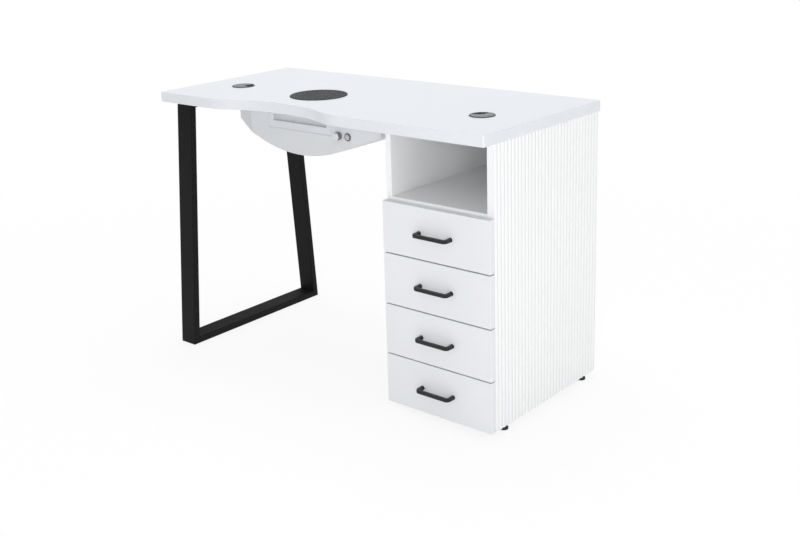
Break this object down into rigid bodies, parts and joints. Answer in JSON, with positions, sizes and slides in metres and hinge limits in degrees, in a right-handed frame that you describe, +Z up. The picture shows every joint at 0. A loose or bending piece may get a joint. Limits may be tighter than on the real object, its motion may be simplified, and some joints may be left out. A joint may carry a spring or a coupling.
{
  "type": "manicure table",
  "caption": "Manicure table with a wave-cut top, a steel leg frame, a ribbed cabinet with an open niche and drawers, and a built-in dust collector with a round grille.",
  "frame": {"origin": "on the floor, under the middle of the table's footprint", "axes": "+X towards the cabinet end, +Y from the technician's side towards the client's side, +Z up"},
  "size_m": [1.14, 0.536, 0.763],
  "materials": {
    "top_board": "satin laminate",
    "edge_banding": "satin",
    "carcass_board": "satin laminate",
    "ribbed_cladding": "satin lacquer",
    "drawer_front": "satin laminate",
    "drawer_board": "matt laminate",
    "black_steel": "satin powder coat",
    "black_handle": "satin powder coat",
    "runner_steel": "zinc plated",
    "screw_steel": "zinc plated",
    "black_plastic": "moulded",
    "white_plastic": "moulded",
    "grommet_ring": "moulded",
    "grommet_cap": "moulded",
    "grille_metal": "satin powder coat",
    "grille_lining": "moulded",
    "collector_housing": "moulded",
    "filter_paper": "pleated paper",
    "fan_plastic": "moulded",
    "motor_metal": "satin",
    "shaft_steel": "ground",
    "circuit_board": "lacquered",
    "silver_knob": "satin",
    "switch_metal": "brushed"
  },
  "bodies": {
    "table": {"table_top": "top_board", "edge_band": "edge_banding", "grommet_sleeve_left": "grommet_ring", "grommet_sleeve_right": "grommet_ring", "grille_collar": "grille_lining", "leg_front_post": "black_steel", "leg_rear_post": "black_steel", "leg_foot_bar": "black_steel", "leg_top_bar": "black_steel", "leg_screws": "screw_steel", "cabinet_side_left": "carcass_board", "cabinet_side_right": "carcass_board", "cabinet_cladding": "ribbed_cladding", "cabinet_back": "carcass_board", "cabinet_bottom": "carcass_board", "niche_shelf": "carcass_board", "cabinet_feet": "black_plastic", "cabinet_brackets": "white_plastic", "cabinet_screws": "screw_steel", "cabinet_runners": "runner_steel", "collector_shell": "collector_housing", "collector_fascia": "collector_housing", "collector_screws": "screw_steel", "fan_plate": "fan_plastic", "fan_motor": "motor_metal", "speed_control": "motor_metal", "control_board": "circuit_board", "switch_body": "switch_metal", "exhaust_cover": "collector_housing", "cord_gland": "black_plastic"},
    "drawer_1": {"drawer_1_front": "drawer_front", "drawer_1_box": "drawer_board", "drawer_1_bottom": "drawer_board", "drawer_1_handle": "black_handle", "drawer_1_fittings": "runner_steel"},
    "drawer_2": {"drawer_2_front": "drawer_front", "drawer_2_box": "drawer_board", "drawer_2_bottom": "drawer_board", "drawer_2_handle": "black_handle", "drawer_2_fittings": "runner_steel"},
    "drawer_3": {"drawer_3_front": "drawer_front", "drawer_3_box": "drawer_board", "drawer_3_bottom": "drawer_board", "drawer_3_handle": "black_handle", "drawer_3_fittings": "runner_steel"},
    "drawer_4": {"drawer_4_front": "drawer_front", "drawer_4_box": "drawer_board", "drawer_4_bottom": "drawer_board", "drawer_4_handle": "black_handle", "drawer_4_fittings": "runner_steel"},
    "filter_tray": {"filter_drawer": "collector_housing", "filter_cassette": "filter_paper"},
    "fan_wheel": {"fan_impeller": "fan_plastic", "fan_shaft": "shaft_steel"},
    "knob": {"speed_knob": "silver_knob"},
    "button": {"power_button": "switch_metal"},
    "left_cap": {"grommet_cap_left": "grommet_cap"},
    "right_cap": {"grommet_cap_right": "grommet_cap"},
    "intake_grille": {"grille": "grille_metal"}
  },
  "joints": [
    {"name": "drawer_1_slide", "type": "slide", "parent": "table", "child": "drawer_1", "axis": [0, -1, 0], "range_m": [0, 0.3]},
    {"name": "drawer_2_slide", "type": "slide", "parent": "table", "child": "drawer_2", "axis": [0, -1, 0], "range_m": [0, 0.3]},
    {"name": "drawer_3_slide", "type": "slide", "parent": "table", "child": "drawer_3", "axis": [0, -1, 0], "range_m": [0, 0.3]},
    {"name": "drawer_4_slide", "type": "slide", "parent": "table", "child": "drawer_4", "axis": [0, -1, 0], "range_m": [0, 0.3]},
    {"name": "filter_slide", "type": "slide", "parent": "table", "child": "filter_tray", "axis": [0, -1, 0], "range_m": [0, 0.15]},
    {"name": "fan_spin", "type": "hinge", "parent": "table", "child": "fan_wheel", "pos_m": [-0.1245, -0.067, 0.65], "axis": [0, 0, 1], "continuous": true},
    {"name": "knob_turn", "type": "hinge", "parent": "table", "child": "knob", "pos_m": [0.0205, -0.148, 0.677], "axis": [0, -1, 0], "range_deg": [0, 270]},
    {"name": "button_press", "type": "slide", "parent": "table", "child": "button", "axis": [0, 1, 0], "range_m": [0, 0.0025], "stiffness_N_per_m": 600},
    {"name": "left_cap_turn", "type": "hinge", "parent": "table", "child": "left_cap", "pos_m": [-0.428, -0.067, 0.76], "axis": [0, 0, 1], "continuous": true},
    {"name": "right_cap_turn", "type": "hinge", "parent": "table", "child": "right_cap", "pos_m": [0.428, -0.067, 0.76], "axis": [0, 0, 1], "continuous": true},
    {"name": "grille_lift", "type": "slide", "parent": "table", "child": "intake_grille", "axis": [0, 0, 1], "range_m": [0, 0.03]}
  ]
}
